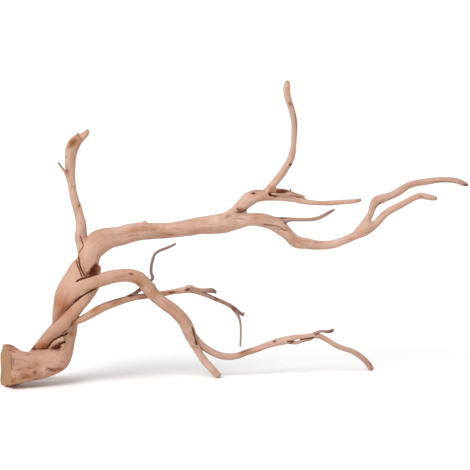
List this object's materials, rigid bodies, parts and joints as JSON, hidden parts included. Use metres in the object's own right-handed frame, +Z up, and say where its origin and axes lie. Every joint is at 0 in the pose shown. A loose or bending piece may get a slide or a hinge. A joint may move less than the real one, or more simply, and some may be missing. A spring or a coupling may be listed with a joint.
{
  "type": "bogwood",
  "caption": "Branching piece of bogwood for an aquarium: sawn stump, twisted trunk, long forked arm and an arched root that stands on the ground.",
  "frame": {"origin": "centre of the ground footprint: middle of the overall box, on the ground that the piece rests on", "axes": "+Z up as the piece rests, +X along its length from the sawn stump to the far twigs, +Y away from the viewer of the picture"},
  "size_m": [0.4683, 0.1459, 0.3039],
  "materials": {
    "trunk": "matte bare wood, pinkish tan with orange-brown patches",
    "upright_branch": "matte bare wood, pale tan with a brown patch near the tip",
    "main_arm": "matte bare wood, pale pinkish tan",
    "upper_fork": "matte bare wood with dark red-brown clefts",
    "tall_twig": "matte bare wood, greyer towards the tip",
    "reaching_twig": "matte bare wood, pale pinkish tan",
    "lower_fork": "matte bare wood with a long dark split",
    "far_upper_twig": "matte bare wood, grey-brown at the tip",
    "far_lower_twig": "matte bare wood, brown towards the tip",
    "arch": "matte bare wood, warm tan",
    "arch_foot": "matte bare wood, grey at the tip",
    "runner": "matte bare wood, pinkish tan",
    "side_branch": "matte bare wood, browner towards its end",
    "drooping_twig": "matte bare wood, grey-brown"
  },
  "bodies": {
    "root": {"trunk": "trunk", "upright_branch": "upright_branch", "main_arm": "main_arm", "upper_fork": "upper_fork", "tall_twig": "tall_twig", "reaching_twig": "reaching_twig", "lower_fork": "lower_fork", "far_upper_twig": "far_upper_twig", "far_lower_twig": "far_lower_twig", "arch": "arch", "arch_foot": "arch_foot", "runner": "runner", "side_branch": "side_branch", "drooping_twig": "drooping_twig"}
  },
  "joints": []
}
